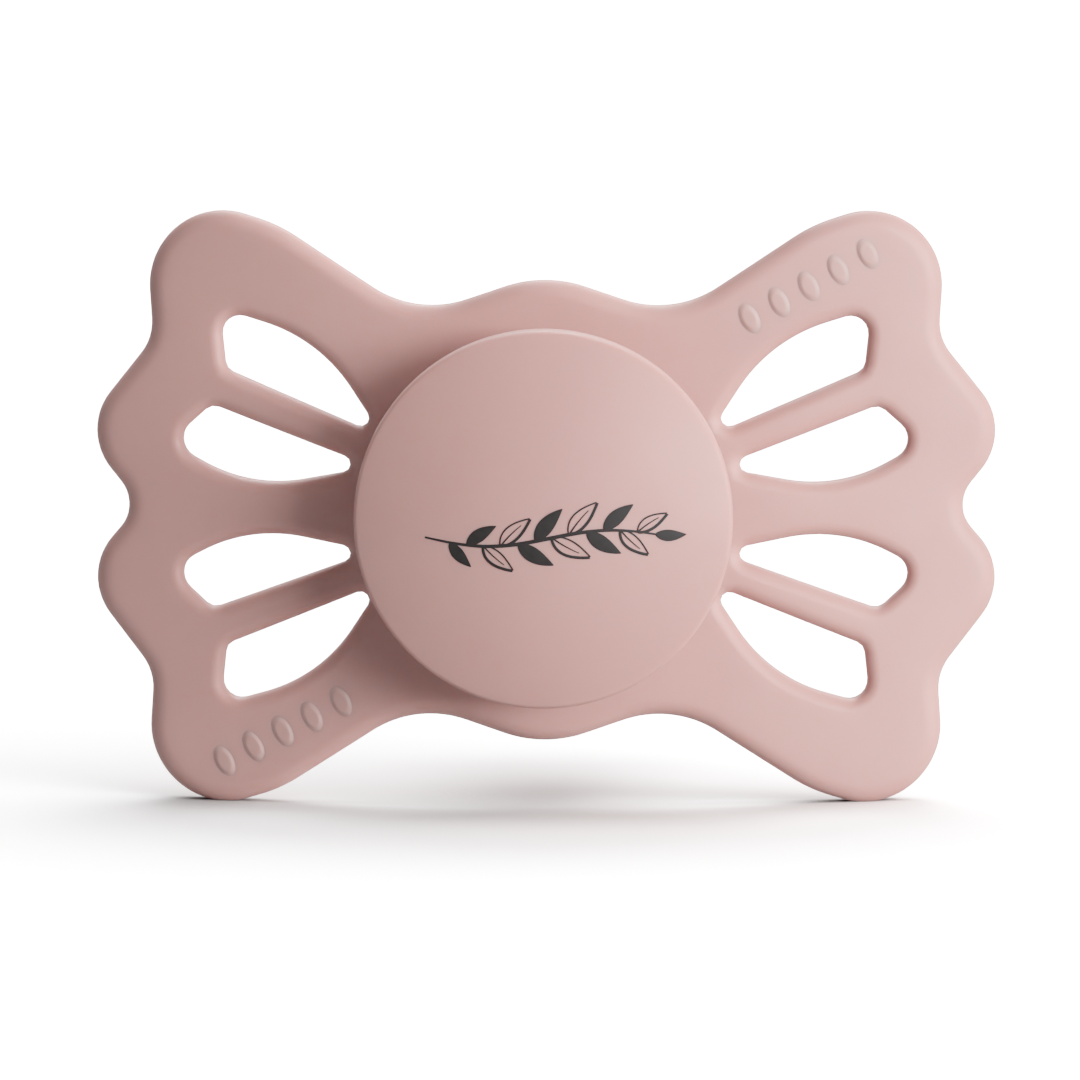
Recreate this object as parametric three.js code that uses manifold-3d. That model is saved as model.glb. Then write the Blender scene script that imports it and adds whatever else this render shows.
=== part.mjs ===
// A knob-type pacifier with a butterfly guard: a vented, swept-back guard, a hollow soft teat whose bead
// seats in the guard's hub, a plug that spreads the teat's base behind the hub, and a two-piece knob that
// snaps on the plug's stem from the front.
//
// Millimetres. +Z is up, +X is to the right of someone facing the knob, and +Y runs from the knob to the
// teat. Each piece is drawn about the teat's axis, with y = 0 on the front face of the guard's centre. At the
// end the whole is moved so that the lower wing tips stand on z = 0, with the origin in the middle.
import * as THREE from "three";
import { mergeVertices } from "three/addons/utils/BufferGeometryUtils.js";
import { TessellateModifier } from "three/addons/modifiers/TessellateModifier.js";
import Module from "manifold-3d";

const wasm = await Module();
wasm.setup();

// ---- Driving dimensions ----

// Guard. Its outline and vents are belts round pulleys [x, z, radius], and a negative radius is a hollow.
// The pulleys are those of one quarter, because the guard is the same left and right and up and down.
const GUARD_THICKNESS = 2.6;
const GUARD_EDGE_ROUND = 0.85;
const GUARD_BEND_RADIUS = 88;
const SIDE_DIP = [31.3, 0, -2.45];
const TOP_BUMP = [0, 7.2, 8.65];
const WING = [
  [26.9, 5.1, 4.2], // outer lobe
  [30.7, 12.7, -3.5], // dip between the lobe and the wing tip
  [22.15, 15.25, 5.2], // corner of the wing tip
  [22.8, 9.9, 10.5], // top of the wing tip
  [7.8, 21.5, -7.4], // dip beside the top bump
];
const UPPER_VENT = [
  [12.7, 6.3, 0.6],
  [21.2, 10.1, 0.85],
  [21.0, 12.0, 1.25],
  [22.4, 2.4, 10.85],
];
const LOWER_VENT = [
  [14.0, 3.1, 0.6],
  [18.6, 12.35, 10.55],
  [23.6, 4.65, 1.4],
  [22.8, 6.05, 0.9],
];

// Guard's hub
const HUB_RADIUS = 8.6;
const HUB_FRONT = -0.6;
const SEAT_RADIUS = 6.5;
const SEAT_FLOOR = 1.1;
const BORE_RADIUS = 5.0;
const COLLAR_RADIUS = 9.6;
const COLLAR_WALL = 1.5;
const COLLAR_BACK = 3.9;

// Teat
const BEAD_FRONT = -0.55;
const BEAD_RADIUS = 6.3;
const TEAT_MOUTH_RADIUS = 3.6;
const TEAT_WALL = 1.2;
const SKIRT_RADIUS = 7.7;
const TEAT_NECK_Y = 12.4;
const TEAT_NECK_RADIUS = 4.45;
const BULB_Y = 23.5;
const BULB_RADIUS = 8.1;
const BULB_FLATNESS = 0.38; // how much thinner than wide the bulb is
const TEAT_END = 30.2;

// Plug
const STEM_RADIUS = 3.4;
const PLUG_BORE_RADIUS = 2.0;
const BARB_RADIUS = 3.9;
const BARB_SHOULDER = -2.95;
const STEM_END = -4.3;
const PLUG_FLANGE_RADIUS = 5.3;
const PLUG_FLANGE = [4.4, 5.5]; // front and back face
const PLUG_TAIL = 1.6;

// Knob
const KNOB_RADIUS = 12.9;
const KNOB_FACE = -9.3;
const KNOB_BACK = -3.6;
const KNOB_FLAT_RADIUS = 2.5;
const DOME_RADIUS = 32;
const DOME_EDGE_RADIUS = 12.45;
const CAP_WALL = 1.4;
const KNOB_NECK_RADIUS = 7.0;
const DISC_FRONT = -5.0;
const DISC_STEP = -4.2; // the cap's lip snaps behind this step in the disc's rim
const DISC_RADIUS = KNOB_RADIUS - 0.8;
const LIP_RADIUS = DISC_RADIUS - 0.3;

const CHAMFER = 0.4; // broken edges of turned pieces
const GAP = 0.15; // clearance between pieces that touch
const ROUND = 40; // segments round the axis

const SURFACE = {
  guard: { color: 0xd3aca6, roughness: 0.42, metalness: 0 },
  knob: { color: 0xd3aca6, roughness: 0.42, metalness: 0 },
  teat: { color: 0xe9e4dc, roughness: 0.3, metalness: 0 },
  plug: { color: 0xeeece8, roughness: 0.5, metalness: 0 },
};

// ---- Helpers ----

function piece(name, geometry, surface) {
  const mesh = new THREE.Mesh(geometry, new THREE.MeshStandardMaterial(surface));
  mesh.name = name;
  return mesh;
}

// A closed solid of revolution about the teat's axis, from [radius, y] points in either direction.
function turned(profile) {
  const points = profile.map(([r, y]) => new THREE.Vector2(r, y));
  if (THREE.ShapeUtils.isClockWise(points)) points.reverse();
  return new THREE.LatheGeometry(points, ROUND);
}

// Points on an arc of a turned profile, about a centre [radius, y], from one angle to another in degrees.
function arc([r, y], radius, from, to, steps) {
  return Array.from({ length: steps + 1 }, (_, i) => {
    const a = THREE.MathUtils.degToRad(from + ((to - from) * i) / steps);
    return [r + radius * Math.cos(a), y + radius * Math.sin(a)];
  });
}

function solidOf(geometry) {
  const bare = geometry.clone();
  bare.deleteAttribute("normal");
  bare.deleteAttribute("uv");
  const merged = mergeVertices(bare, 1e-4);
  return new wasm.Manifold(
    new wasm.Mesh({
      numProp: 3,
      vertProperties: merged.attributes.position.array,
      triVerts: new Uint32Array(merged.index.array),
    }),
  );
}

function geometryOf(solid) {
  const { vertProperties, triVerts } = solid.getMesh();
  const geometry = new THREE.BufferGeometry();
  geometry.setAttribute("position", new THREE.BufferAttribute(vertProperties, 3));
  geometry.setIndex(new THREE.BufferAttribute(triVerts, 1));
  geometry.computeVertexNormals();
  return geometry;
}

// The closed path of a belt round pulleys: an arc on each pulley, joined by straight tangents. Path.absarc
// adds the straight line from where the last arc ended.
function belt(path, pulleys) {
  const normals = pulleys.map(([x, z, r], i) => {
    const [nextX, nextZ, nextR] = pulleys[(i + 1) % pulleys.length];
    const [dx, dz] = [nextX - x, nextZ - z];
    return Math.atan2(dz, dx) + Math.acos((nextR - r) / Math.hypot(dx, dz));
  });
  pulleys.forEach(([x, z, r], i) => {
    const turn = r > 0 ? Math.PI : 0;
    const arrives = normals.at(i - 1) + turn;
    path.absarc(x, z, Math.abs(r), arrives, normals[i] + turn, r < 0);
  });
  path.closePath();
  return path;
}

// The pulleys of another quarter. A mirrored belt runs backwards, so its order is turned round.
function mirrored(pulleys, signX, signZ) {
  const moved = pulleys.map(([x, z, r]) => [signX * x, signZ * z, r]);
  return signX * signZ < 0 ? moved.reverse() : moved;
}

// ---- Guard ----

function guardShape() {
  const outline = [
    SIDE_DIP,
    ...WING,
    TOP_BUMP,
    ...mirrored(WING, -1, 1),
    ...mirrored([SIDE_DIP], -1, 1),
    ...mirrored(WING, -1, -1),
    ...mirrored([TOP_BUMP], 1, -1),
    ...mirrored(WING, 1, -1),
  ];
  const shape = belt(new THREE.Shape(), outline);
  for (const signX of [1, -1])
    for (const signZ of [1, -1])
      for (const vent of [UPPER_VENT, LOWER_VENT])
        shape.holes.push(belt(new THREE.Path(), mirrored(vent, signX, signZ)));
  return shape;
}

// The flat plate lies across y, front face at y = 0, with its rounded edges inside the outline.
function flatPlate() {
  const plate = new THREE.ExtrudeGeometry(guardShape(), {
    depth: GUARD_THICKNESS - 2 * GUARD_EDGE_ROUND,
    bevelThickness: GUARD_EDGE_ROUND,
    bevelSize: GUARD_EDGE_ROUND,
    bevelOffset: -GUARD_EDGE_ROUND,
    bevelSegments: 2,
    curveSegments: 2,
  });
  plate.translate(0, 0, GUARD_EDGE_ROUND - GUARD_THICKNESS);
  return plate.rotateX(Math.PI / 2);
}

// Sweeps a plate's wings back round an upright line. The outline stays as it is seen from the front, and the
// edges stay parallel to the teat's axis, the way the mould opens.
function bend(geometry) {
  const place = geometry.attributes.position;
  for (let i = 0; i < place.count; i++) {
    const sweep = GUARD_BEND_RADIUS - Math.sqrt(GUARD_BEND_RADIUS ** 2 - place.getX(i) ** 2);
    place.setY(i, place.getY(i) + sweep);
  }
  return geometry;
}

function guard() {
  const longestEdge = 8;
  const splits = 20;
  const pocketRadius = COLLAR_RADIUS - COLLAR_WALL;
  const plate = solidOf(bend(new TessellateModifier(longestEdge, splits).modify(flatPlate())));
  const hub = turned([
    [0, HUB_FRONT],
    [HUB_RADIUS - CHAMFER, HUB_FRONT],
    [HUB_RADIUS, HUB_FRONT + CHAMFER],
    [HUB_RADIUS, SEAT_FLOOR],
    [COLLAR_RADIUS, SEAT_FLOOR],
    [COLLAR_RADIUS, COLLAR_BACK - CHAMFER],
    [COLLAR_RADIUS - CHAMFER, COLLAR_BACK],
    [pocketRadius + CHAMFER, COLLAR_BACK],
    [pocketRadius, COLLAR_BACK - CHAMFER],
    [pocketRadius, GUARD_THICKNESS],
    [0, GUARD_THICKNESS],
  ]);
  const bore = turned([
    [0, HUB_FRONT - 1],
    [SEAT_RADIUS, HUB_FRONT - 1],
    [SEAT_RADIUS, SEAT_FLOOR],
    [BORE_RADIUS, SEAT_FLOOR],
    [BORE_RADIUS, GUARD_THICKNESS - CHAMFER],
    [BORE_RADIUS + CHAMFER, GUARD_THICKNESS],
    [pocketRadius, GUARD_THICKNESS],
    [pocketRadius, COLLAR_BACK + 1],
    [0, COLLAR_BACK + 1],
  ]);
  return piece("guard", geometryOf(plate.add(solidOf(hub)).subtract(solidOf(bore))), SURFACE.guard);
}

// ---- Teat ----

// The bulb narrows from round at the neck to flat, and is the same above and below.
function flattened(geometry) {
  const place = geometry.attributes.position;
  for (let i = 0; i < place.count; i++) {
    const share = THREE.MathUtils.smoothstep(place.getY(i), TEAT_NECK_Y - 1, BULB_Y);
    place.setZ(i, place.getZ(i) * (1 - BULB_FLATNESS * share));
  }
  return geometry;
}

// One wall of the teat from the skirt to the end, as [radius, y] points: inset 0 outside, the wall's
// thickness inside. The stretch past the bulb's widest point is a quarter of an ellipse.
function teatWall(inset) {
  const bulbLength = TEAT_END - BULB_Y;
  const flare = new THREE.SplineCurve(
    [
      [SKIRT_RADIUS - 0.65, 4.9],
      [5.9, 7.4],
      [4.85, 10],
      [TEAT_NECK_RADIUS, TEAT_NECK_Y],
      [4.95, 15.2],
      [6.7, 19],
      [BULB_RADIUS, BULB_Y],
    ].map(([r, y]) => new THREE.Vector2(r - inset, y)),
  );
  const end = arc([0, 0], 1, 0, 90, 5)
    .slice(1)
    .map(([c, s]) => [c * (BULB_RADIUS - inset), BULB_Y + s * (bulbLength - inset)]);
  return [...flare.getPoints(9).map((p) => [p.x, p.y]), ...end];
}

function teat() {
  const back = GUARD_THICKNESS + GAP;
  const beadBack = SEAT_FLOOR - GAP;
  const boreRadius = BORE_RADIUS - GAP;
  const shoulder = PLUG_FLANGE[0] - GAP;
  const outside = [
    [TEAT_MOUTH_RADIUS, BEAD_FRONT],
    [BEAD_RADIUS - CHAMFER, BEAD_FRONT],
    [BEAD_RADIUS, BEAD_FRONT + CHAMFER],
    [BEAD_RADIUS, beadBack - CHAMFER],
    [BEAD_RADIUS - CHAMFER, beadBack],
    [boreRadius, beadBack],
    [boreRadius, back],
    [SKIRT_RADIUS - CHAMFER, back],
    [SKIRT_RADIUS, back + CHAMFER],
    ...teatWall(0),
  ];
  const inside = [
    ...teatWall(TEAT_WALL).reverse(),
    [PLUG_FLANGE_RADIUS + 2 * GAP, shoulder],
    [TEAT_MOUTH_RADIUS, shoulder],
    [TEAT_MOUTH_RADIUS, BEAD_FRONT],
  ];
  return piece("teat", flattened(turned([...outside, ...inside])), SURFACE.teat);
}

// ---- Plug ----

function teatPlug() {
  const [flangeFront, flangeBack] = PLUG_FLANGE;
  const tailRadius = PLUG_BORE_RADIUS + 0.8;
  return piece(
    "teat_plug",
    turned([
      [PLUG_BORE_RADIUS, STEM_END],
      [STEM_RADIUS - CHAMFER, STEM_END],
      [BARB_RADIUS, BARB_SHOULDER - CHAMFER],
      [BARB_RADIUS, BARB_SHOULDER],
      [STEM_RADIUS, BARB_SHOULDER],
      [STEM_RADIUS, flangeFront],
      [PLUG_FLANGE_RADIUS, flangeFront],
      [PLUG_FLANGE_RADIUS, flangeBack - CHAMFER],
      [PLUG_FLANGE_RADIUS - CHAMFER, flangeBack],
      [tailRadius, flangeBack],
      [tailRadius, flangeBack + PLUG_TAIL],
      [PLUG_BORE_RADIUS, flangeBack + PLUG_TAIL],
      [PLUG_BORE_RADIUS, STEM_END],
    ]),
    SURFACE.plug,
  );
}

// ---- Knob ----

// The knob's back half: a disc that the cap closes on, a neck that turns on the guard's hub, and a socket
// whose groove holds the plug's barb.
function knobBase() {
  const neckEnd = HUB_FRONT - GAP;
  const socketRadius = STEM_RADIUS + GAP;
  const grooveRadius = BARB_RADIUS + GAP;
  const grooveBack = BARB_SHOULDER + GAP;
  const neckWall = 1.3;
  const coreOuter = KNOB_NECK_RADIUS - neckWall;
  const coreInner = grooveRadius + 0.9;
  const coreEnd = neckEnd - neckWall;
  const fillet = 0.9;
  return piece(
    "knob_base",
    turned([
      [socketRadius, neckEnd],
      [KNOB_NECK_RADIUS - CHAMFER, neckEnd],
      [KNOB_NECK_RADIUS, neckEnd - CHAMFER],
      ...arc([KNOB_NECK_RADIUS + fillet, KNOB_BACK + fillet], fillet, 180, 270, 3),
      [LIP_RADIUS - GAP, KNOB_BACK],
      [LIP_RADIUS - GAP, DISC_STEP],
      [DISC_RADIUS, DISC_STEP],
      [DISC_RADIUS, DISC_FRONT],
      [coreOuter, DISC_FRONT],
      [coreOuter, coreEnd],
      [coreInner, coreEnd],
      [coreInner, DISC_FRONT],
      [grooveRadius, DISC_FRONT],
      [grooveRadius, grooveBack],
      [socketRadius, grooveBack],
      [socketRadius, neckEnd],
    ]),
    SURFACE.knob,
  );
}

// The knob's front half: a domed shell, flat at its centre, whose lip snaps behind the base's disc.
function knobCap() {
  const domeDrop = (r) => DOME_RADIUS - Math.sqrt(DOME_RADIUS ** 2 - r * r);
  const domeY = (r) => KNOB_FACE + domeDrop(r) - domeDrop(KNOB_FLAT_RADIUS);
  const dome = (radii, inset) => radii.map((r) => [r, domeY(r) + inset]);
  const edge = KNOB_RADIUS - DOME_EDGE_RADIUS;
  const edgeSlope = Math.asin(DOME_EDGE_RADIUS / (DOME_RADIUS - edge));
  const edgeY = domeY(0) + DOME_RADIUS - (DOME_RADIUS - edge) * Math.cos(edgeSlope);
  const backRound = 0.6;
  const skirtRadius = DISC_RADIUS + GAP;
  const ledge = DISC_FRONT - GAP;
  const lipFront = DISC_STEP + GAP;
  return piece(
    "knob_cap",
    turned([
      [0, KNOB_FACE + CAP_WALL],
      ...dome([4, 8, 10.6], CAP_WALL),
      [DISC_RADIUS - 0.7, ledge],
      [skirtRadius, ledge],
      [skirtRadius, lipFront],
      [LIP_RADIUS, lipFront],
      [LIP_RADIUS, KNOB_BACK],
      ...arc([KNOB_RADIUS - backRound, KNOB_BACK - backRound], backRound, 90, 0, 2),
      ...arc([DOME_EDGE_RADIUS, edgeY], edge, 0, THREE.MathUtils.radToDeg(edgeSlope) - 90, 3),
      ...dome([10.6, 8.5, 6.5, 4.5, KNOB_FLAT_RADIUS], 0),
      [0, KNOB_FACE],
    ]),
    SURFACE.knob,
  );
}

// ---- Assembly ----

const pacifier = new THREE.Group();
pacifier.add(guard(), teat(), teatPlug(), knobBase(), knobCap());

const box = new THREE.Box3().setFromObject(pacifier);
pacifier.position.set(0, -(box.min.y + box.max.y) / 2, -box.min.z);

export default pacifier;
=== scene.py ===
"""A knob-type pacifier: fine surfaces, materials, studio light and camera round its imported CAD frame.

Sizes are in millimetres in the design's own frame: y = 0 is the front face of the guard's centre, +y runs
from the knob to the teat, and x = z = 0 is the teat's axis. Piece.make() turns them into metres in the row
frame.
"""
import math

import bmesh
import bpy
import numpy as np
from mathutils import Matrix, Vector
from mathutils.geometry import delaunay_2d_cdt


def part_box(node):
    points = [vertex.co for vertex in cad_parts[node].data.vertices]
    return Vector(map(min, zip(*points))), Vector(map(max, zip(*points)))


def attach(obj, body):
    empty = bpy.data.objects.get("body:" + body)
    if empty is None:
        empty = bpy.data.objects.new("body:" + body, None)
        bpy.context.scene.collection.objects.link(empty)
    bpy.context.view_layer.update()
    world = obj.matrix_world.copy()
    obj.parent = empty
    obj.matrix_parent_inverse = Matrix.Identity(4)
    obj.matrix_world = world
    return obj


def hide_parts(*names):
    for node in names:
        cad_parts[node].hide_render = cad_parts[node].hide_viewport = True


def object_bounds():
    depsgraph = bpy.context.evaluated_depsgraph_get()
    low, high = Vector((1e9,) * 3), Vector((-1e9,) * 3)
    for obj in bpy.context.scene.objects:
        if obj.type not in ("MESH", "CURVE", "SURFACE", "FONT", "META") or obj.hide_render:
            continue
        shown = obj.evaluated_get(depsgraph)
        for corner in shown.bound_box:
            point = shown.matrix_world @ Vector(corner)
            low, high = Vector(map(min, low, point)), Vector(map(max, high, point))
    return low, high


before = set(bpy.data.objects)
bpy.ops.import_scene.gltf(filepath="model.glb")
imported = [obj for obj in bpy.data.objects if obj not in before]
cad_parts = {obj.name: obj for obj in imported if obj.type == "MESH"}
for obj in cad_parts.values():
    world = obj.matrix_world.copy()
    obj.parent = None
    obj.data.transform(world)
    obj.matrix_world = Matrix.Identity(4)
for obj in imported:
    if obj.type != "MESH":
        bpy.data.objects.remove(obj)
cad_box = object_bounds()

MM = 0.001

# ---- Sizes: the same design as the CAD model's ----

THICKNESS = 2.6
BEND_RADIUS = 88
# Pulleys (x, z, radius) of the belts that outline a quarter of the guard. A negative radius is a hollow.
SIDE_DIP = (31.3, 0, -2.45)
TOP_BUMP = (0, 7.2, 8.65)
WING = [(26.9, 5.1, 4.2), (30.7, 12.7, -3.5), (22.15, 15.25, 5.2), (22.8, 9.9, 10.5), (7.8, 21.5, -7.4)]
UPPER_VENT = [(12.7, 6.3, 0.6), (21.2, 10.1, 0.85), (21.0, 12.0, 1.25), (22.4, 2.4, 10.85)]
LOWER_VENT = [(14.0, 3.1, 0.6), (18.6, 12.35, 10.55), (23.6, 4.65, 1.4), (22.8, 6.05, 0.9)]
OUTLINE_ROUND = (1.2, 1.0)  # how far the rounded edge reaches in over the face, and down the side
VENT_ROUND = (0.95, 0.9)

HUB_RADIUS = 8.6
HUB_FRONT = -0.6
SEAT_RADIUS = 6.5
SEAT_FLOOR = 1.1
BORE_RADIUS = 5.0
COLLAR_RADIUS = 9.6
POCKET_RADIUS = 8.1
COLLAR_BACK = 3.9

BEAD_FRONT = -0.55
BEAD_RADIUS = 6.3
TEAT_MOUTH_RADIUS = 3.6
TEAT_WALL = 1.2
SKIRT_RADIUS = 7.7
TEAT_FLARE = [(7.05, 4.9), (5.9, 7.4), (4.85, 10), (4.45, 12.4), (4.95, 15.2), (6.7, 19), (8.1, 23.5)]
FLAT_START = 11.4  # how far back the teat starts to flatten
BULB_FLATNESS = 0.38
TEAT_END = 30.2

STEM_RADIUS = 3.4
PLUG_BORE_RADIUS = 2.0
BARB_RADIUS = 3.9
BARB_SHOULDER = -2.95
STEM_END = -4.3
PLUG_FLANGE_RADIUS = 5.3
PLUG_FLANGE = (4.4, 5.5)
PLUG_TAIL = 1.6
PLUG_TAIL_WALL = 0.8

KNOB_RADIUS = 12.9
KNOB_FACE = -9.3
KNOB_BACK = -3.6
DOME_RADIUS = 32
DOME_EDGE_RADIUS = 12.45
CAP_WALL = 1.4
CAP_INSIDE = (10.6, 8, 4, 0)  # radii of the points across the cap's inner face
CAP_LEDGE = 0.7  # how far the cap's ledge reaches in over the disc
NECK_RADIUS = 7.0
NECK_WALL = 1.3
SOCKET_WALL = 0.9  # round the plug's barb
DISC_FRONT = -5.0
DISC_STEP = -4.2
DISC_RADIUS = KNOB_RADIUS - 0.8
LIP_RADIUS = DISC_RADIUS - 0.3
GAP = 0.15  # between one piece and the next

# Small rounds and chamfers, by where they are
CHAMFER = 0.4
SMALL_ROUND = 0.2
BOSS_ROUND = 0.25
HUB_FILLET = 0.3
COLLAR_FILLET = 0.6
HUB_FILLET_ANGLES = (22, 45, 68, 90)  # from the plate's face to the hub's side
SKIRT_ROUND = 0.35
FLANGE_ROUND = 0.15
SEAM_ROUND = 0.12
KNOB_BACK_ROUND = 0.6
NECK_FILLET = 0.9
NECK_ROUND = 0.3

# Across a stroke of ink: the share of its half width, and the height over the knob's face
INK_SECTION = ((-1, -0.03), (-1, 0.02), (-0.5, 0.03), (0.5, 0.03), (1, 0.02), (1, -0.03))
SPRIG_CENTRE = (0.4, -1.0)
SPRIG_LENGTH = 16.8
SPRIG_WAVE = 0.55
STEM_SHARE = 0.93  # how much of the sprig's length the stem takes, below the last leaf
STEM_WIDTH = 0.13  # at its ends
STEM_SWELL = 0.14  # how much wider it is halfway
FIRST_LEAF = 0.1  # where it grows, as a share of the sprig's length
LEAVES = 13
LEAF_LENGTH = 1.872  # near the sprig's ends
LEAF_GROWTH = 0.988  # how much longer a leaf is halfway
LEAF_WIDTH = 0.36  # of its length
LEAF_TIP = 0.04  # how wide a leaf still is at its ends
LEAF_LEAN = 48  # degrees from the stem
LEAF_DROOP = 0.16  # of its length
LEAF_RIMS = (0.11, 0.2)  # how thick an outlined leaf's two edges are
LEAF_RIB = (0.12, 0.06)  # how thick its midrib is at its root and at its end

PIPS = 5
PIP_ROW = (18.1, 15.4)  # the middle of the row, on the upper right wing
PIP_LEAN = 28  # degrees that the row rises at
PIP_PITCH = 2.3
PIP_REACH = (0.72, 1.25)  # half its width and half its length
PIP_HEIGHT = 0.14
PIP_SLOPE = 0.5  # the share of its reach over which a pip rises
PIP_ROOT = 0.015  # how far a pip's edge is sunk, so that it meets the face without a step
PIP_DEPTH = 0.15  # how far its closed underside is sunk

# ---- Fineness ----

OUTLINE_STEP = 0.4  # between points along the guard's edges
FACE_STEP = 1.1  # between points on the guard's faces
RIM_CLEARANCE = 0.55  # how many steps those points keep off the rims
EDGE_STEPS = 8  # across each rounded edge
HUB_SEGMENTS = 96
TURNED_SEGMENTS = 144
PIP_SEGMENTS = 32
STROKE_POINTS = 61
CREASE = 38  # degrees, above which an edge stays sharp

# ---- Surfaces ----

NOISE_RANGE = (0.3, 0.7)  # the values that most of a noise lies between
PLASTIC_GRAIN = 0.006  # how high it is
SILICONE_GRAIN = 0.008

# ---- Light ----

FLOOR_SEEN = 2.45  # how bright the camera sees the floor
PAINTED_BOUNCE_LIMITS = (0.28, 0.6)  # the least and the most of its light that the floor throws back, where its colour is a painted pool of light
PAINTED_BOUNCE_MIDDLE = 0.44  # how much it throws back at the pacifier, in the middle of that painted pool of light
PAINTED_BOUNCE_SLOPE = (1.2, 0.8, 0)  # how much that painted light rises per metre to the right and to the back
PAINTED_SHADE_FROM = (0.7, 0.1, 0.75)  # the direction that the ambient occlusion of the floor's painted shadow looks in
PAINTED_SHADE_REACH = 0.09  # metres that the painted shadow reaches
PAINTED_SHADE_DEPTH = 1.8  # above 1, the painted shadow is deepened
BACKLIGHT = 0.46
LAMPS = {  # azimuth (0 is in front of the knob and 90 to its right), elevation and strength
    "key": (40, 3, 1.38),
    "high_key": (40, 32, 0.26),
    "side": (70, 5, 1.3),
    "back": (180, 50, 0.68),
    "top": (0, 90, 0.38),
}
LAMP_SPREAD = 32  # degrees across
TONE_BEND = 0.75  # 0 leaves tones as they are; nearer 1, dark tones are lifted and bright ones roll off
TONE_POINTS = (0.012, 0.03, 0.08, 0.16, 0.28, 0.42, 0.58, 0.78)  # where that curve is pinned

# ---- Camera ----

CAMERA_AZIMUTH = 0.85
CAMERA_ELEVATION = 5.15
CAMERA_DISTANCE = 700
CAMERA_LENS = 340
CAMERA_AIM = (-0.31, 0, -1.95)  # from the middle of the guard's front face

# ---- Where the design's own origin is in the row frame ----

cap_low, cap_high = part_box("knob_cap")
ORIGIN = np.array([0, cap_low.y - KNOB_FACE * MM, (cap_low.z + cap_high.z) / 2])


# ---- Mesh helpers ----


class Piece:
    """The vertices and faces of one piece, in millimetres in the design's frame."""

    def __init__(self):
        self.points = []
        self.faces = []

    def add(self, points):
        """Adds points and returns their numbers."""
        first = len(self.points)
        self.points.extend(tuple(p) for p in points)
        return list(range(first, len(self.points)))

    def bridge(self, one, other):
        """Joins two closed rings of as many points with quads."""
        for i in range(len(one)):
            self.faces.append((one[i - 1], one[i], other[i], other[i - 1]))

    def fan(self, ring, tip):
        """Closes a ring onto one point."""
        for i in range(len(ring)):
            self.faces.append((ring[i - 1], ring[i], tip))

    def make(self, name, body, material, slot, replaces=()):
        """The finished object: smooth except at its creases, riding on its body."""
        mesh = bpy.data.meshes.new(name)
        placed = np.array(self.points) * MM + ORIGIN
        mesh.from_pydata(placed.tolist(), [], self.faces)
        work = bmesh.new()
        work.from_mesh(mesh)
        bmesh.ops.recalc_face_normals(work, faces=work.faces)
        work.to_mesh(mesh)
        work.free()
        mesh.polygons.foreach_set("use_smooth", [True] * len(mesh.polygons))
        mesh.set_sharp_from_angle(angle=math.radians(CREASE))
        mesh.materials.append(material)
        made = bpy.data.objects.new(name, mesh)
        bpy.context.scene.collection.objects.link(made)
        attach(made, body)
        if replaces:
            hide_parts(*replaces)
        return made


def arc(centre, radius, start, end, steps):
    """Points (r, y) on an arc round a centre (r, y), from one angle to another in degrees."""
    angles = np.radians(np.linspace(start, end, steps + 1))
    return [(centre[0] + radius * math.cos(a), centre[1] + radius * math.sin(a)) for a in angles]


def spline(knots, steps):
    """Points on a smooth curve through knots, with steps between each two."""
    ends = [knots[0]] + list(knots) + [knots[-1]]
    found = []
    for a, b, c, d in zip(*(np.array(ends[i:len(ends) - 3 + i], float) for i in range(4))):
        for t in np.arange(steps) / steps:
            square = 2 * a - 5 * b + 4 * c - d
            cube = 3 * (b - c) + d - a
            found.append(b + 0.5 * t * (c - a + t * (square + t * cube)))
    return found + [np.array(knots[-1], float)]


def eased(share):
    """A share from 0 to 1 with a soft start and end."""
    return share * share * (3 - 2 * share)


def unit_circle(count):
    """Points (x, z) evenly round a circle of radius 1."""
    angles = np.arange(count) * 2 * math.pi / count
    return np.stack([np.cos(angles), np.sin(angles)], 1)


def level_ring(circle, r, y):
    """A ring of radius r round the teat's axis."""
    return np.stack([r * circle[:, 0], np.full(len(circle), float(y)), r * circle[:, 1]], 1)


def turned(profile, segments=TURNED_SEGMENTS, shape=None):
    """A piece turned round the teat's axis from (r, y) points. A profile that doesn't start on the axis
    closes on itself. shape can move the points of each ring."""
    piece = Piece()
    circle = unit_circle(segments)
    rings = []
    for r, y in profile:
        if r < 1e-6:
            rings.append(piece.add([(0, y, 0)]))
            continue
        ring = level_ring(circle, r, y)
        rings.append(piece.add(ring if shape is None else shape(ring)))
    pairs = list(zip(rings, rings[1:]))
    if len(rings[0]) > 1:
        pairs.append((rings[-1], rings[0]))
    for one, other in pairs:
        if len(one) == 1:
            piece.fan(other, one[0])
        elif len(other) == 1:
            piece.fan(one, other[0])
        else:
            piece.bridge(one, other)
    return piece


# ---- Guard ----


def belt(pulleys, step):
    """Points and outward normals along a belt round pulleys (x, z, radius), where a negative radius is a
    hollow. The belt is an arc on each pulley, joined by straight tangents."""
    after = pulleys[1:] + pulleys[:1]
    turns = [
        math.atan2(z2 - z, x2 - x) + math.acos((r2 - r) / math.hypot(x2 - x, z2 - z))
        for (x, z, r), (x2, z2, r2) in zip(pulleys, after)
    ]
    points, normals = [], []
    for i, (x, z, r) in enumerate(pulleys):
        sweep = (turns[i] - turns[i - 1] + math.pi) % (2 * math.pi) - math.pi
        steps = max(2, round(abs(r * sweep) / step))
        for a in np.linspace(turns[i - 1], turns[i - 1] + sweep, steps + 1):
            normals.append((-math.cos(a), -math.sin(a)))
            points.append((x - r * math.cos(a), z - r * math.sin(a)))
        x2, z2, r2 = after[i]
        start = np.array(points[-1])
        end = np.array((x2, z2)) + r2 * np.array(normals[-1])
        steps = max(1, round(np.hypot(*(end - start)) / step))
        for share in np.arange(1, steps) / steps:
            normals.append(normals[-1])
            points.append(tuple(start + share * (end - start)))
    return np.array(points), np.array(normals)


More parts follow.
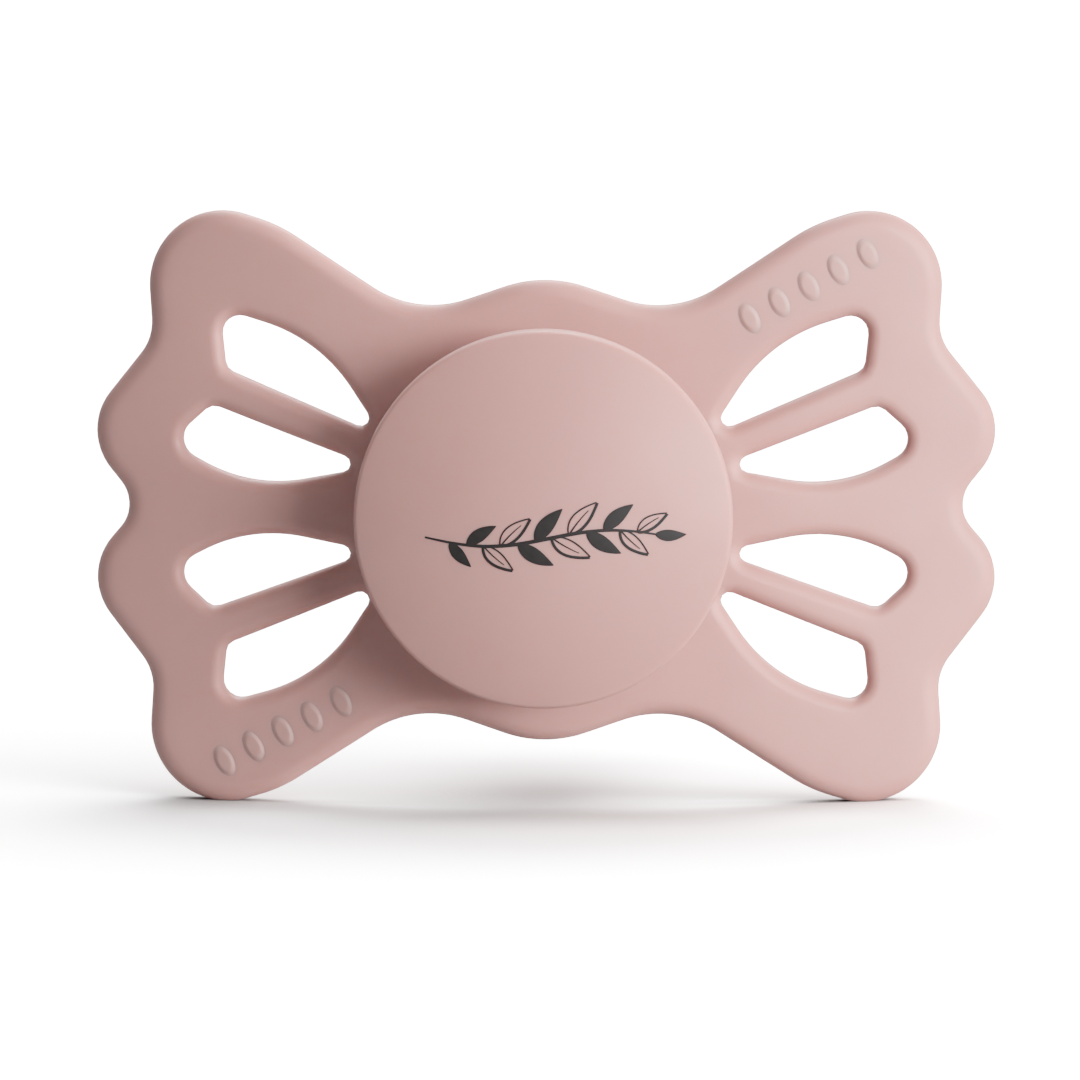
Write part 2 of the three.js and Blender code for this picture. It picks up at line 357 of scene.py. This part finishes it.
def mirrored(pulleys, sign_x, sign_z):
    """The pulleys of another quarter. A mirrored belt runs backwards, so its order is turned round."""
    moved = [(sign_x * x, sign_z * z, r) for x, z, r in pulleys]
    return moved[::-1] if sign_x * sign_z < 0 else moved


def bent(flat, y):
    """Flat points (x, z) at depth y in the plate, swept back round an upright line. Edges stay parallel to
    the teat's axis, the way the mould opens."""
    x, z = flat.T
    return np.stack([x, y + BEND_RADIUS - np.sqrt(BEND_RADIUS**2 - x * x), z], 1)


def edge_profile(reach, depth):
    """(inset, y) across a rounded edge, from the front face round to the back face."""
    angles = np.linspace(0, math.pi / 2, EDGE_STEPS + 1)
    front = [(reach * (1 - math.sin(a)), depth * (1 - math.cos(a))) for a in angles]
    back = [(inset, THICKNESS - y) for inset, y in reversed(front)]
    return front + back


def in_material(points, loops):
    """Which flat points lie inside the first loop and outside the rest."""
    crossings = np.zeros(len(points), int)
    for loop in loops:
        ahead = np.roll(loop, -1, 0)
        x, z = points[:, :1], points[:, 1:]
        spans = (loop[None, :, 1] > z) != (ahead[None, :, 1] > z)
        rise = ahead[None, :, 1] - loop[None, :, 1]
        rise = np.where(rise == 0, 1, rise)
        reach = loop[None, :, 0] + (z - loop[None, :, 1]) * (ahead[:, 0] - loop[:, 0])[None] / rise
        crossings += (spans & (x < reach)).sum(1)
    return crossings % 2 == 1


def fill_face(piece, loops, y):
    """Fills one face of the plate between loops of (vertex numbers, flat points), with a grid inside it so
    that the face bends smoothly."""
    rims = [flat for _, flat in loops]
    rim_points = np.vstack(rims)
    reach = np.abs(rim_points).max(0)
    rows = np.arange(-reach[1], reach[1], FACE_STEP * math.sqrt(3) / 2)
    columns = np.arange(-reach[0], reach[0], FACE_STEP)
    grid = np.array([(x + FACE_STEP / 2 * (i % 2), z) for i, z in enumerate(rows) for x in columns])
    grid = grid[in_material(grid, rims)]
    apart = np.hypot(*(grid[:, None] - rim_points[None]).transpose(2, 0, 1)).min(1)
    grid = grid[apart > RIM_CLEARANCE * FACE_STEP]
    numbers = [n for ring, _ in loops for n in ring] + piece.add(bent(grid, y))
    edges, first = [], 0
    for ring, _ in loops:
        edges += [(first + i, first + (i + 1) % len(ring)) for i in range(len(ring))]
        first += len(ring)
    flat = np.vstack([rim_points, grid])
    places = [Vector(p) for p in flat]
    _, _, faces, sources, _, _ = delaunay_2d_cdt(places, edges, [], 0, 1e-6)
    faces = np.array([[sources[v][0] for v in face] for face in faces])
    faces = faces[in_material(flat[faces].mean(1), rims)]
    piece.faces.extend(tuple(numbers[v] for v in face) for face in faces.tolist())


def hub_rings(piece, front_rim, back_rim):
    """The guard's hub: from the plate's front face over the boss, down the seat and bore, and out over the
    collar to the plate's back face."""
    circle = unit_circle(HUB_SEGMENTS)

    def fillet(radius, size, y, side):
        rings = []
        for a in np.radians(HUB_FILLET_ANGLES):
            ring = bent(circle * (radius + size * (1 - math.sin(a))), y)
            ring[:, 1] += side * size * (1 - math.cos(a))
            rings.append(ring)
        return rings

    boss = arc((HUB_RADIUS - BOSS_ROUND, HUB_FRONT + BOSS_ROUND), BOSS_ROUND, 0, -90, 4)
    seat = arc((SEAT_RADIUS + SMALL_ROUND, HUB_FRONT + SMALL_ROUND), SMALL_ROUND, -90, -180, 3)
    bore = [(SEAT_RADIUS, SEAT_FLOOR), (BORE_RADIUS + SMALL_ROUND, SEAT_FLOOR)]
    bore += [(BORE_RADIUS, SEAT_FLOOR + SMALL_ROUND), (BORE_RADIUS, THICKNESS - CHAMFER)]
    bore += [(BORE_RADIUS + CHAMFER, THICKNESS), (POCKET_RADIUS, THICKNESS)]
    collar = arc((POCKET_RADIUS + CHAMFER, COLLAR_BACK - CHAMFER), CHAMFER, 180, 90, 4)
    collar += arc((COLLAR_RADIUS - CHAMFER, COLLAR_BACK - CHAMFER), CHAMFER, 90, 0, 4)
    rings = fillet(HUB_RADIUS, HUB_FILLET, 0, -1)
    rings += [level_ring(circle, r, y) for r, y in boss + seat + bore + collar]
    rings += reversed(fillet(COLLAR_RADIUS, COLLAR_FILLET, THICKNESS, 1))
    numbers = [front_rim] + [piece.add(ring) for ring in rings] + [back_rim]
    for one, other in zip(numbers, numbers[1:]):
        piece.bridge(one, other)


def guard():
    """The whole guard as one closed skin: rounded outline and vents, both faces, and the hub."""
    outline = (
        [SIDE_DIP, *WING, TOP_BUMP, *mirrored(WING, -1, 1), *mirrored([SIDE_DIP], -1, 1)]
        + [*mirrored(WING, -1, -1), *mirrored([TOP_BUMP], 1, -1), *mirrored(WING, 1, -1)]
    )
    vents = [
        mirrored(vent, sign_x, sign_z)
        for sign_x in (1, -1) for sign_z in (1, -1) for vent in (UPPER_VENT, LOWER_VENT)
    ]
    piece = Piece()
    fronts, backs = [], []
    for pulleys in [outline, *vents]:
        points, normals = belt(pulleys, OUTLINE_STEP)
        side, (reach, depth) = (-1, OUTLINE_ROUND) if pulleys is outline else (1, VENT_ROUND)
        rings = [
            piece.add(bent(points + side * inset * normals, y)) for inset, y in edge_profile(reach, depth)
        ]
        for one, other in zip(rings, rings[1:]):
            piece.bridge(one, other)
        rim = points + side * reach * normals
        fronts.append((rings[0], rim))
        backs.append((rings[-1], rim))
    hub_rims = ((fronts, HUB_RADIUS + HUB_FILLET, 0), (backs, COLLAR_RADIUS + COLLAR_FILLET, THICKNESS))
    for loops, radius, y in hub_rims:
        rim = radius * unit_circle(HUB_SEGMENTS)
        loops.append((piece.add(bent(rim, y)), rim))
        fill_face(piece, loops, y)
    hub_rings(piece, fronts[-1][0], backs[-1][0])
    return piece


# ---- Teat, plug and knob ----


def teat():
    """The hollow teat: bead, neck, skirt and flattened bulb outside, and the cavity inside."""
    back = THICKNESS + GAP
    bead_back = SEAT_FLOOR - GAP
    bore = BORE_RADIUS - GAP
    shoulder = PLUG_FLANGE[0] - GAP
    bulb_r, bulb_y = TEAT_FLARE[-1]

    def wall(inset):
        flare = spline([(r - inset, y) for r, y in TEAT_FLARE], 6)
        width = bulb_r - inset
        length = TEAT_END - bulb_y - inset
        turns = np.radians(np.linspace(0, 90, 17))
        end = [(width * math.cos(a), bulb_y + length * math.sin(a)) for a in turns]
        return [tuple(p) for p in flare] + end[1:-1] + [(0, TEAT_END - inset)]

    def flatten(ring):
        share = np.clip((ring[:, 1] - FLAT_START) / (bulb_y - FLAT_START), 0, 1)
        ring[:, 2] *= 1 - BULB_FLATNESS * eased(share)
        return ring

    outside = arc((BEAD_RADIUS - CHAMFER, BEAD_FRONT + CHAMFER), CHAMFER, -90, 0, 4)
    outside += arc((BEAD_RADIUS - CHAMFER, bead_back - CHAMFER), CHAMFER, 0, 90, 4)
    outside += [(bore, bead_back), (bore, back)]
    outside += arc((SKIRT_RADIUS - SKIRT_ROUND, back + SKIRT_ROUND), SKIRT_ROUND, -90, 0, 5)
    inside = [(PLUG_FLANGE_RADIUS + 2 * GAP, shoulder), (TEAT_MOUTH_RADIUS, shoulder)]
    inside += [(TEAT_MOUTH_RADIUS, BEAD_FRONT)]
    profile = wall(0)[::-1] + outside[::-1] + inside[::-1] + wall(TEAT_WALL)
    return turned(profile, shape=flatten)


def teat_plug():
    """The tube that carries the knob: barbed stem in front, flange inside the teat, and a short tail."""
    front, back = PLUG_FLANGE
    tail = PLUG_BORE_RADIUS + PLUG_TAIL_WALL
    profile = [(PLUG_BORE_RADIUS, STEM_END), (STEM_RADIUS - CHAMFER, STEM_END)]
    profile += [(BARB_RADIUS, BARB_SHOULDER - CHAMFER), (BARB_RADIUS, BARB_SHOULDER)]
    profile += [(STEM_RADIUS, BARB_SHOULDER), (STEM_RADIUS, front)]
    profile += arc((PLUG_FLANGE_RADIUS - FLANGE_ROUND, front + FLANGE_ROUND), FLANGE_ROUND, -90, 0, 3)
    profile += arc((PLUG_FLANGE_RADIUS - CHAMFER, back - CHAMFER), CHAMFER, 0, 90, 4)
    profile += [(tail + SMALL_ROUND, back), (tail, back + SMALL_ROUND)]
    profile += arc((tail - SMALL_ROUND, back + PLUG_TAIL - SMALL_ROUND), SMALL_ROUND, 0, 90, 3)
    profile += [(PLUG_BORE_RADIUS, back + PLUG_TAIL)]
    return turned(profile, segments=HUB_SEGMENTS)


def knob_base():
    """The knob's back half: disc, neck, and the socket that the plug's barb snaps into."""
    neck_end = HUB_FRONT - GAP
    socket = STEM_RADIUS + GAP
    groove = BARB_RADIUS + GAP
    groove_back = BARB_SHOULDER + GAP
    core = (NECK_RADIUS - NECK_WALL, groove + SOCKET_WALL)
    core_end = neck_end - NECK_WALL
    rim = LIP_RADIUS - GAP
    profile = [(socket, neck_end)]
    profile += arc((NECK_RADIUS - NECK_ROUND, neck_end - NECK_ROUND), NECK_ROUND, 90, 0, 4)
    profile += arc((NECK_RADIUS + NECK_FILLET, KNOB_BACK + NECK_FILLET), NECK_FILLET, 180, 270, 8)
    profile += arc((rim - SEAM_ROUND, KNOB_BACK - SEAM_ROUND), SEAM_ROUND, 90, 0, 3)
    profile += [(rim, DISC_STEP), (DISC_RADIUS, DISC_STEP), (DISC_RADIUS, DISC_FRONT)]
    profile += [(core[0], DISC_FRONT), (core[0], core_end), (core[1], core_end), (core[1], DISC_FRONT)]
    profile += [(groove, DISC_FRONT), (groove, groove_back), (socket, groove_back)]
    return turned(profile)


def dome_y(r):
    """How far forward the knob's domed face is at a radius."""
    return KNOB_FACE + DOME_RADIUS - math.sqrt(DOME_RADIUS**2 - r * r)


def knob_cap():
    """The knob's front half: a domed shell whose lip closes behind the base's disc."""
    edge = KNOB_RADIUS - DOME_EDGE_RADIUS
    slope = math.asin(DOME_EDGE_RADIUS / (DOME_RADIUS - edge))
    tangent = DOME_RADIUS * math.sin(slope)
    centre = (DOME_EDGE_RADIUS, dome_y(tangent) + edge * math.cos(slope))
    skirt = DISC_RADIUS + GAP
    ledge = DISC_FRONT - GAP
    back_centre = (KNOB_RADIUS - KNOB_BACK_ROUND, KNOB_BACK - KNOB_BACK_ROUND)
    profile = [(0, KNOB_FACE)]
    profile += [(r, dome_y(r)) for r in np.linspace(0, tangent, 25)[1:-1]]
    profile += arc(centre, edge, math.degrees(slope) - 90, 0, 12)
    profile += arc(back_centre, KNOB_BACK_ROUND, 0, 90, 6)
    profile += arc((LIP_RADIUS + SEAM_ROUND, KNOB_BACK - SEAM_ROUND), SEAM_ROUND, 90, 180, 3)
    profile += [(LIP_RADIUS, DISC_STEP + GAP), (skirt, DISC_STEP + GAP), (skirt, ledge)]
    profile += [(DISC_RADIUS - CAP_LEDGE, ledge)]
    profile += [(r, dome_y(r) + CAP_WALL) for r in CAP_INSIDE]
    return turned(profile)


# ---- Ornaments ----


def on_dome(flat, lift):
    """Flat points (x, z) laid on the knob's face, lift millimetres above it."""
    return [(x, dome_y(math.hypot(x, z)) - lift, z) for x, z in flat]


def stroke(piece, path, widths):
    """A thin layer of ink along a flat path on the knob's face, as wide as each point's width."""
    path, widths = np.array(path), np.array(widths)
    ahead = np.gradient(path, axis=0)
    left = np.stack([-ahead[:, 1], ahead[:, 0]], 1) / np.hypot(*ahead.T)[:, None]
    reach = left * widths[:, None] / 2
    sides = [(path + share * reach, lift) for share, lift in INK_SECTION]
    layers = np.array([on_dome(flat, lift) for flat, lift in sides])
    rings = [piece.add(layers[:, i]) for i in range(len(path))]
    for one, other in zip(rings, rings[1:]):
        piece.bridge(one, other)
    piece.faces += [tuple(rings[0]), tuple(rings[-1])]


def leaf_width(share, width):
    """How wide a leaf is at a share of its length."""
    return width * math.sin(math.pi * share**0.8) ** 0.9 + LEAF_TIP


def sprig():
    """A leafy sprig lying across the knob: one curved stem, with solid and outlined leaves in turn."""
    piece = Piece()
    shares = np.linspace(0, 1, STROKE_POINTS)

    def stem(t):
        wave = SPRIG_WAVE * math.sin(2 * math.pi * t)
        return np.array((SPRIG_CENTRE[0] + SPRIG_LENGTH * (t - 0.5), SPRIG_CENTRE[1] - wave))

    stem_line = [stem(t) for t in shares * STEM_SHARE]
    stroke(piece, stem_line, STEM_WIDTH + STEM_SWELL * np.sin(math.pi * shares))
    for i, t in enumerate(np.linspace(FIRST_LEAF, STEM_SHARE, LEAVES)):
        last = i == LEAVES - 1
        side = 1 if i % 2 else -1
        run = stem(t + 0.01) - stem(t - 0.01)
        lean = math.atan2(run[1], run[0]) + (0 if last else side * math.radians(LEAF_LEAN))
        length = LEAF_LENGTH + LEAF_GROWTH * math.sin(math.pi * t)
        along = np.array((math.cos(lean), math.sin(lean)))
        across = np.array((-along[1], along[0]))
        droop = -side * LEAF_DROOP * length

        def midrib(u):
            return stem(t) + along * length * u + across * droop * u * u

        middle_line = [midrib(u) for u in shares]
        widths = [leaf_width(u, LEAF_WIDTH * length) for u in shares]
        if i % 4 in (0, 1) or last:
            stroke(piece, middle_line, widths)
            continue
        half = np.array(widths)[:, None] / 2 * across
        for way, rim in zip((1, -1), LEAF_RIMS):
            stroke(piece, middle_line + way * half, np.full(STROKE_POINTS, rim))
        rib_points = 3 * STROKE_POINTS // 4
        stroke(piece, middle_line[:rib_points], np.linspace(*LEAF_RIB, rib_points))
    return piece


def pips():
    """Two rows of low oval pips moulded on opposite wings."""
    piece = Piece()
    circle = unit_circle(PIP_SEGMENTS)
    lean = math.radians(PIP_LEAN)
    turn = np.array(((math.cos(lean), math.sin(lean)), (-math.sin(lean), math.cos(lean))))
    for side in (1, -1):
        for i in range(PIPS):
            centre = np.array(PIP_ROW) + PIP_PITCH * (i - (PIPS - 1) / 2) * turn[0]
            rings = []
            for share in np.linspace(1, 0.08, 12):
                flat = side * (centre + (circle * PIP_REACH * share) @ turn)
                rise = eased(min((1 - share) / PIP_SLOPE, 1))
                rings.append(piece.add(bent(flat, PIP_ROOT - PIP_HEIGHT * rise)))
            for one, other in zip(rings, rings[1:]):
                piece.bridge(one, other)
            flat = side * (centre + (circle * PIP_REACH) @ turn)
            root = piece.add(bent(flat, PIP_DEPTH))
            piece.bridge(root, rings[0])
            piece.faces += [tuple(root), tuple(rings[-1])]
    return piece


# ---- Materials ----


def material(name):
    """A new material, its nodes and links, and its main shader."""
    made = bpy.data.materials.new(name)
    made.use_nodes = True
    nodes = made.node_tree.nodes
    return made, nodes, made.node_tree.links, nodes["Principled BSDF"]


def noise(nodes, links, scale, detail):
    """Noise in object coordinates, in periods per metre."""
    place = nodes.new("ShaderNodeTexCoord")
    found = nodes.new("ShaderNodeTexNoise")
    found.inputs["Scale"].default_value = scale
    found.inputs["Detail"].default_value = detail
    links.new(place.outputs["Object"], found.inputs["Vector"])
    return found.outputs["Fac"]


def ramp(nodes, links, value, low, high):
    """A colour, or three equal numbers, going from low to high as noise goes over its usual range."""
    found = nodes.new("ShaderNodeValToRGB")
    for end, position, colour in zip(found.color_ramp.elements, NOISE_RANGE, (low, high)):
        end.position = position
        end.color = (*colour, 1)
    links.new(value, found.inputs["Fac"])
    return found.outputs["Color"]


def bump(nodes, links, value, height, shader):
    """Fine relief, height millimetres from the lowest value to the highest."""
    found = nodes.new("ShaderNodeBump")
    found.inputs["Distance"].default_value = height * MM
    links.new(value, found.inputs["Height"])
    links.new(found.outputs["Normal"], shader.inputs["Normal"])


def satin_plastic(name, dark, light, roughness):
    """Moulded polypropylene: faint clouds in its colour, an uneven satin and the mould's spark grain."""
    made, nodes, links, shader = material(name)
    clouds = noise(nodes, links, 90, 3)
    links.new(ramp(nodes, links, clouds, dark, light), shader.inputs["Base Color"])
    patches = noise(nodes, links, 260, 4)
    low, high = roughness
    links.new(ramp(nodes, links, patches, (low,) * 3, (high,) * 3), shader.inputs["Roughness"])
    bump(nodes, links, noise(nodes, links, 5200, 3), PLASTIC_GRAIN, shader)
    shader.inputs["Subsurface Weight"].default_value = 0.6
    shader.inputs["Subsurface Radius"].default_value = (1.0, 0.45, 0.35)
    shader.inputs["Subsurface Scale"].default_value = 0.0012
    shader.inputs["IOR"].default_value = 1.49
    return made


def silicone():
    """Milky silicone with a soft shine and a trace of dust-like unevenness."""
    made, nodes, links, shader = material("silicone")
    clouds = noise(nodes, links, 120, 3)
    links.new(
        ramp(nodes, links, clouds, (0.80, 0.76, 0.69), (0.88, 0.85, 0.79)), shader.inputs["Base Color"]
    )
    links.new(ramp(nodes, links, clouds, (0.29,) * 3, (0.37,) * 3), shader.inputs["Roughness"])
    bump(nodes, links, noise(nodes, links, 1500, 2), SILICONE_GRAIN, shader)
    shader.inputs["Transmission Weight"].default_value = 0.4
    shader.inputs["Subsurface Weight"].default_value = 0.6
    shader.inputs["Subsurface Radius"].default_value = (1.0, 0.9, 0.75)
    shader.inputs["Subsurface Scale"].default_value = 0.003
    shader.inputs["IOR"].default_value = 1.41
    return made


def ink():
    """Matt printed ink, slightly uneven in its cover."""
    made, nodes, links, shader = material("ink")
    cover = noise(nodes, links, 1800, 3)
    links.new(
        ramp(nodes, links, cover, (0.010, 0.008, 0.008), (0.017, 0.014, 0.014)), shader.inputs["Base Color"]
    )
    links.new(ramp(nodes, links, cover, (0.5,) * 3, (0.65,) * 3), shader.inputs["Roughness"])
    shader.inputs["Specular IOR Level"].default_value = 0.3
    return made


def arithmetic(nodes, links, operation, value, number):
    """A number made from a value and a constant by one operation."""
    found = nodes.new("ShaderNodeMath")
    found.operation = operation
    links.new(value, found.inputs[0])
    found.inputs[1].default_value = number
    return found.outputs["Value"]


def reach_along(nodes, links, coordinates, way):
    """How far a place or a direction reaches along a way: their dot product."""
    place = nodes.new("ShaderNodeTexCoord")
    found = nodes.new("ShaderNodeVectorMath")
    found.operation = "DOT_PRODUCT"
    found.inputs[1].default_value = way
    links.new(place.outputs[coordinates], found.inputs[0])
    return found.outputs["Value"]


def show_apart(nodes, links, seen, thrown, output):
    """Shows one shader to the camera, and the other one to the light that goes from surface to surface."""
    path = nodes.new("ShaderNodeLightPath")
    mix = nodes.new("ShaderNodeMixShader")
    links.new(path.outputs["Is Camera Ray"], mix.inputs["Fac"])
    links.new(thrown, mix.inputs[1])
    links.new(seen, mix.inputs[2])
    links.new(mix.outputs["Shader"], nodes[output].inputs["Surface"])


def floor_material():
    """White paper in wide light. The camera sees it bright, with a painted shadow round the pacifier that
    ambient occlusion darkens. It throws less light back, least from in front and from the left, as a
    painted pool of light."""
    made, nodes, links, _ = material("floor")
    # Painted shadow: ambient occlusion darkens the colour that the camera sees on the floor near the
    # pacifier.
    painted_shade = nodes.new("ShaderNodeAmbientOcclusion")
    painted_shade.inputs["Distance"].default_value = PAINTED_SHADE_REACH
    towards = nodes.new("ShaderNodeCombineXYZ")
    for axis, share in zip("XYZ", PAINTED_SHADE_FROM):
        towards.inputs[axis].default_value = share
    links.new(towards.outputs["Vector"], painted_shade.inputs["Normal"])
    deepened_painted_shade = arithmetic(nodes, links, "POWER", painted_shade.outputs["AO"], PAINTED_SHADE_DEPTH)
    seen = nodes.new("ShaderNodeBsdfDiffuse")
    links.new(arithmetic(nodes, links, "MULTIPLY", deepened_painted_shade, FLOOR_SEEN), seen.inputs["Color"])

    # Painted pool of light: the colour that the floor shows to bounced light rises to the right and behind,
    # within set limits.
    slope = reach_along(nodes, links, "Object", PAINTED_BOUNCE_SLOPE)
    painted_bounce = arithmetic(nodes, links, "ADD", slope, PAINTED_BOUNCE_MIDDLE)
    painted_bounce = arithmetic(nodes, links, "MAXIMUM", painted_bounce, PAINTED_BOUNCE_LIMITS[0])
    painted_bounce = arithmetic(nodes, links, "MINIMUM", painted_bounce, PAINTED_BOUNCE_LIMITS[1])
    thrown = nodes.new("ShaderNodeBsdfDiffuse")
    links.new(painted_bounce, thrown.inputs["Color"])
    show_apart(nodes, links, seen.outputs["BSDF"], thrown.outputs["BSDF"], "Material Output")
    return made


# ---- Build ----

pink = satin_plastic("pink_plastic", (0.60, 0.322, 0.296), (0.63, 0.344, 0.314), (0.46, 0.54))
white = satin_plastic("white_plastic", (0.78, 0.77, 0.74), (0.82, 0.81, 0.78), (0.42, 0.5))
guard().make("guard_fine", "shield", pink, "guard_plastic", ["guard"])
teat().make("teat_fine", "teat", silicone(), "teat_silicone", ["teat"])
teat_plug().make("teat_plug_fine", "knob", white, "plug_plastic", ["teat_plug"])
knob_base().make("knob_base_fine", "knob", pink, "knob_plastic", ["knob_base"])
knob_cap().make("knob_cap_fine", "knob", pink, "knob_plastic", ["knob_cap"])
sprig().make("knob_sprig", "knob", ink(), "print_ink")
pips().make("guard_pips", "shield", pink, "guard_plastic")


# ---- Studio ----


def add_floor():
    """A wide floor at the height that the pacifier stands at."""
    bpy.ops.mesh.primitive_plane_add(size=8, location=(0, 0, cad_box[0].z))
    floor = bpy.context.object
    floor.name = "floor"
    floor.data.materials.append(floor_material())


def aim(thing, target):
    """Turns a lamp or camera towards a point."""
    thing.rotation_euler = (target - thing.location).to_track_quat("-Z", "Y").to_euler()


def direction(azimuth, elevation):
    """The way from the pacifier to something at these angles in degrees."""
    a, e = math.radians(azimuth), math.radians(elevation)
    return Vector((math.sin(a) * math.cos(e), -math.cos(a) * math.cos(e), math.sin(e)))


def add_lamp(name, azimuth, elevation, strength):
    """A far, soft lamp."""
    lamp = bpy.data.lights.new(name, "SUN")
    lamp.energy = strength
    lamp.angle = math.radians(LAMP_SPREAD)
    made = bpy.data.objects.new(name, lamp)
    made.location = direction(azimuth, elevation)
    aim(made, Vector((0, 0, 0)))
    bpy.context.scene.collection.objects.link(made)


def add_world():
    """Soft light that comes from behind and fades to nothing at the sides, before a white backdrop."""
    world = bpy.data.worlds.new("studio")
    bpy.context.scene.world = world
    world.use_nodes = True
    nodes, links = world.node_tree.nodes, world.node_tree.links
    lit = nodes["Background"]
    seen = nodes.new("ShaderNodeBackground")
    for node in (lit, seen):
        node.inputs["Color"].default_value = (1, 1, 1, 1)
    behind = reach_along(nodes, links, "Generated", (0, BACKLIGHT, 0))
    links.new(arithmetic(nodes, links, "MAXIMUM", behind, 0), lit.inputs["Strength"])
    show_apart(nodes, links, seen.outputs["Background"], lit.outputs["Background"], "World Output")


def add_camera():
    """Slightly above and to the right of straight ahead, through a long lens."""
    centre = Vector(ORIGIN)
    lens = bpy.data.cameras.new("camera")
    lens.lens = CAMERA_LENS
    lens.clip_start = 0.01
    camera = bpy.data.objects.new("camera", lens)
    camera.location = centre + CAMERA_DISTANCE * MM * direction(CAMERA_AZIMUTH, CAMERA_ELEVATION)
    aim(camera, centre + MM * Vector(CAMERA_AIM))
    bpy.context.scene.collection.objects.link(camera)
    bpy.context.scene.camera = camera


def set_tones():
    """A soft shoulder: a tone x becomes x / (1 + TONE_BEND (x - 1))."""
    view = bpy.context.scene.view_settings
    view.view_transform = "Standard"
    view.use_curve_mapping = True
    curve = view.curve_mapping.curves[3]
    for x in TONE_POINTS:
        curve.points.new(x, x / (1 + TONE_BEND * (x - 1)))
    view.curve_mapping.update()


add_floor()
for name, lamp in LAMPS.items():
    add_lamp(name, *lamp)
add_world()
add_camera()
set_tones()
